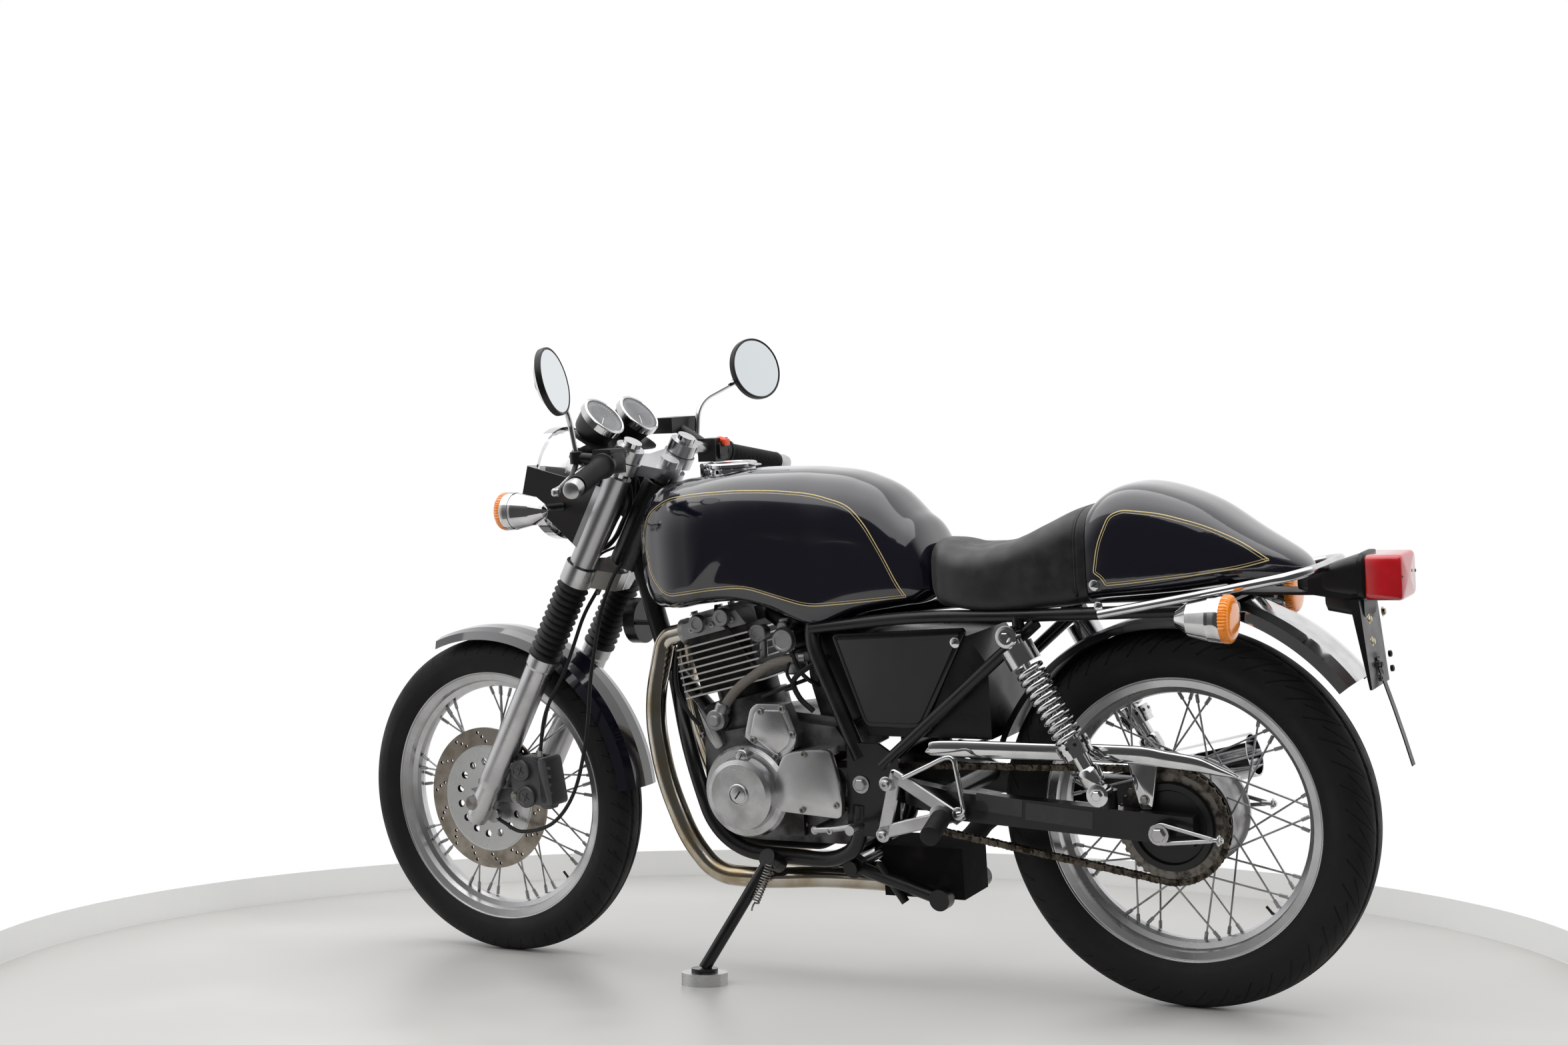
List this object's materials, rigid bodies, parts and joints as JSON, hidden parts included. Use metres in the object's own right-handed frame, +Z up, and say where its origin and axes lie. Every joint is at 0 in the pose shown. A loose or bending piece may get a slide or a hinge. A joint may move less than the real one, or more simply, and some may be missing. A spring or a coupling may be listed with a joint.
{
  "type": "cafe racer motorcycle",
  "caption": "Cafe racer motorcycle with a single-cylinder engine, clip-on bars, a solo seat with a humped cowl and spoked wheels, parked leaning on its side stand",
  "frame": {"origin": "on the floor under the middle of the parked motorcycle's box", "axes": "+X forward, +Y to the motorcycle's left, +Z up"},
  "size_m": [2.102, 0.7769, 1.2013],
  "materials": {
    "gloss_black": "gloss",
    "frame_black": "satin",
    "chrome": "polished",
    "aluminium": "satin",
    "steel": "brushed",
    "tyre": "matte",
    "rubber": "matte",
    "leather": "satin",
    "glass": "clear",
    "red_lens": "gloss",
    "black_plastic": "matte"
  },
  "bodies": {
    "chassis": {"frame": "frame_black", "swingarm": "frame_black", "rear_axle": "steel", "rear_brake_panel": "aluminium", "shock_dampers": "chrome", "shock_springs": "chrome", "rear_indicators": "chrome", "crankcase": "aluminium", "flywheel_cover": "aluminium", "engine_covers": "aluminium", "cylinder": "aluminium", "cylinder_head": "aluminium", "carburettor": "aluminium", "headers": "chrome", "collector": "chrome", "silencer": "chrome", "fuel_tank": "gloss_black", "seat": "leather", "seat_cowl": "gloss_black", "side_covers": "gloss_black", "rear_fender": "chrome", "inner_panels": "frame_black", "tail_light": "black_plastic", "tail_lens": "red_lens", "grab_rail": "chrome", "plate_bracket": "frame_black", "chain": "steel", "footrest_brackets": "aluminium", "foot_levers": "chrome", "chain_guard": "frame_black", "horn": "frame_black"},
    "steering": {"fork_sliders": "aluminium", "fork_tubes": "chrome", "fork_gaiters": "rubber", "fork_clamps": "aluminium", "front_axle": "steel", "headlight_ears": "aluminium", "headlight": "chrome", "headlight_glass": "glass", "gauges": "aluminium", "handlebars": "chrome", "grips": "rubber", "bar_controls": "chrome", "mirrors": "chrome", "front_fender": "gloss_black", "front_indicators": "chrome", "front_caliper": "steel", "brake_hose": "rubber"},
    "front_wheel": {"front_tyre": "tyre", "front_rim": "aluminium", "front_hub": "aluminium", "front_disc": "steel"},
    "rear_wheel": {"rear_tyre": "tyre", "rear_rim": "aluminium", "rear_hub": "aluminium", "rear_sprocket": "steel"},
    "side_stand": {"side_stand": "frame_black", "stand_puck": "aluminium"},
    "centre_stand": {"centre_stand": "frame_black"},
    "filler_lid": {"filler_lid": "chrome"}
  },
  "joints": [
    {"name": "steering_turn", "type": "hinge", "parent": "chassis", "child": "steering", "pos_m": [0.70168, -0.11114, 0.28351], "axis": [-0.5, 0.116, 0.8582], "range_deg": [-27, 33]},
    {"name": "front_wheel_spin", "type": "hinge", "parent": "steering", "child": "front_wheel", "pos_m": [0.74319, -0.11042, 0.30759], "axis": [0.0453, 0.9931, -0.1079], "continuous": true},
    {"name": "rear_wheel_spin", "type": "hinge", "parent": "chassis", "child": "rear_wheel", "pos_m": [-0.66175, -0.1055, 0.32523], "axis": [0, 0.991, -0.134], "continuous": true},
    {"name": "side_stand_fold", "type": "hinge", "parent": "chassis", "child": "side_stand", "pos_m": [0.09025, -0.0003, 0.22261], "axis": [0.0987, 0.9332, 0.3455], "range_deg": [0, 113]},
    {"name": "centre_stand_swing", "type": "hinge", "parent": "chassis", "child": "centre_stand", "pos_m": [-0.05375, -0.11965, 0.22058], "axis": [0, -0.991, 0.134], "range_deg": [0, 79]},
    {"name": "filler_lid_open", "type": "hinge", "parent": "chassis", "child": "filler_lid", "pos_m": [0.23475, -0.02285, 0.93656], "axis": [0, 0.991, -0.134], "range_deg": [0, 100]}
  ]
}
